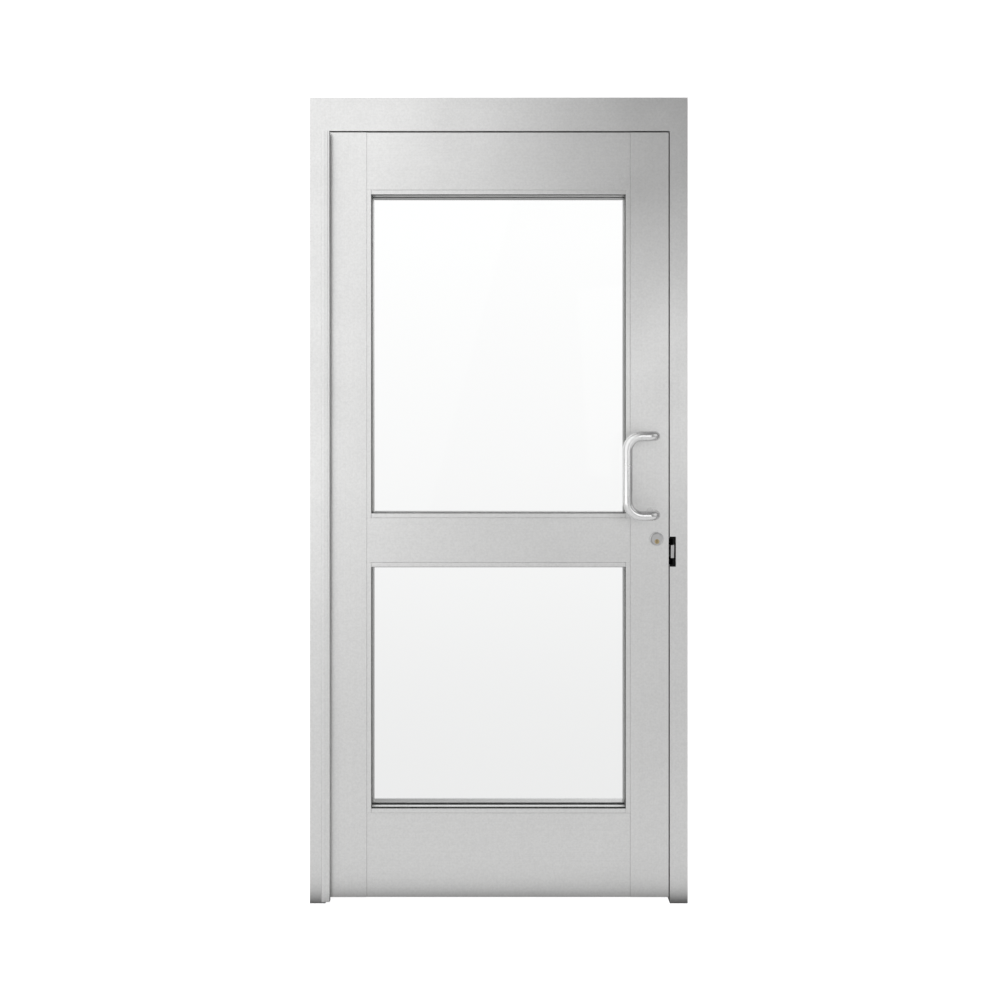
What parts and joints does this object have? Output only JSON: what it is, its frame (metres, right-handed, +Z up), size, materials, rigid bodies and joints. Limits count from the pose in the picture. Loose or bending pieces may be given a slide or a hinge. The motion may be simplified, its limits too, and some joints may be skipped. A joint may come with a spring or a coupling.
{
  "type": "security door",
  "caption": "Aluminium security door in its frame, glazed above and below a middle rail, with geared hinge, offset pull, key cylinder and electric strike.",
  "frame": {"origin": "bottom centre of the whole object, door pull included, level with the feet of the jambs", "axes": "+Z up; +X from the hinge side to the lock side; +Y away from the pull side"},
  "size_m": [1.0032, 0.1906, 2.14],
  "materials": {
    "satin_aluminium": "clear anodised, satin",
    "mill_aluminium": "mill finish",
    "brushed_aluminium": "satin, rubbed along its length",
    "stainless_steel": "satin stainless",
    "zinc_steel": "zinc plated",
    "plug_brass": "bare brass",
    "black_rubber": "matt",
    "black_plastic": "black painted housing",
    "bearing_plastic": "acetal",
    "clear_glass": "clear tempered"
  },
  "bodies": {
    "frame": {"hinge_jamb": "satin_aluminium", "strike_jamb": "satin_aluminium", "header": "satin_aluminium", "header_filler": "satin_aluminium", "header_clips": "mill_aluminium", "header_clip_screws": "zinc_steel", "header_screws": "zinc_steel", "hinge_jamb_stop": "satin_aluminium", "strike_jamb_stop": "satin_aluminium", "header_stop": "satin_aluminium", "jamb_seals": "black_rubber", "header_seal": "black_rubber", "hinge_frame_leaf": "satin_aluminium", "frame_leaf_screws": "zinc_steel", "strike_housing": "black_plastic", "strike_faceplate": "stainless_steel", "strike_screws": "stainless_steel", "keeper_pin": "stainless_steel"},
    "cap": {"hinge_cap": "satin_aluminium", "hinge_bearings": "bearing_plastic"},
    "door": {"hinge_door_leaf": "satin_aluminium", "door_leaf_screws": "zinc_steel", "hinge_stile": "satin_aluminium", "lock_stile": "satin_aluminium", "top_rail": "satin_aluminium", "middle_rail": "satin_aluminium", "bottom_rail": "satin_aluminium", "tie_rods": "zinc_steel", "tie_rod_nuts": "zinc_steel", "upper_glass": "clear_glass", "lower_glass": "clear_glass", "upper_side_beads": "satin_aluminium", "upper_rail_beads": "satin_aluminium", "lower_side_beads": "satin_aluminium", "lower_rail_beads": "satin_aluminium", "upper_gaskets": "black_rubber", "lower_gaskets": "black_rubber", "setting_blocks": "black_rubber", "pull_handle": "brushed_aluminium", "pull_bolts": "stainless_steel", "lock_case": "zinc_steel", "lock_faceplate": "stainless_steel", "lock_faceplate_screws": "stainless_steel", "key_cylinder": "stainless_steel", "cylinder_collar": "stainless_steel", "turn_cylinder": "stainless_steel", "turn_collar": "stainless_steel"},
    "latch": {"latch_bolt": "stainless_steel"},
    "plug": {"key_plug": "plug_brass", "key_cam": "plug_brass"},
    "turn": {"thumb_turn": "stainless_steel", "turn_cam": "plug_brass"},
    "keeper": {"strike_keeper": "stainless_steel"}
  },
  "joints": [
    {"name": "door_swing", "type": "hinge", "parent": "cap", "child": "door", "pos_m": [-0.45235, -0.02635, 1], "axis": [0, 0, -1], "range_deg": [0, 55]},
    {"name": "cap_swing", "type": "hinge", "parent": "frame", "child": "cap", "pos_m": [-0.46035, -0.02635, 1], "axis": [0, 0, -1], "range_deg": [0, 55]},
    {"name": "latch_slide", "type": "slide", "parent": "door", "child": "latch", "axis": [1, 0, 0], "range_m": [0, 0.0127]},
    {"name": "key_turn", "type": "hinge", "parent": "door", "child": "plug", "pos_m": [0.41885, -0.02, 0.962], "axis": [0, 1, 0], "range_deg": [-180, 180]},
    {"name": "thumb_swing", "type": "hinge", "parent": "door", "child": "turn", "pos_m": [0.41885, 0.03, 0.962], "axis": [0, 1, 0], "range_deg": [-90, 90]},
    {"name": "keeper_swing", "type": "hinge", "parent": "frame", "child": "keeper", "pos_m": [0.4656, -0.014, 0.9341], "axis": [0, 0, 1], "range_deg": [0, 35]}
  ],
  "couplings": [
    {"joint": "cap_swing", "follows": "door_swing", "ratio": 1}
  ]
}
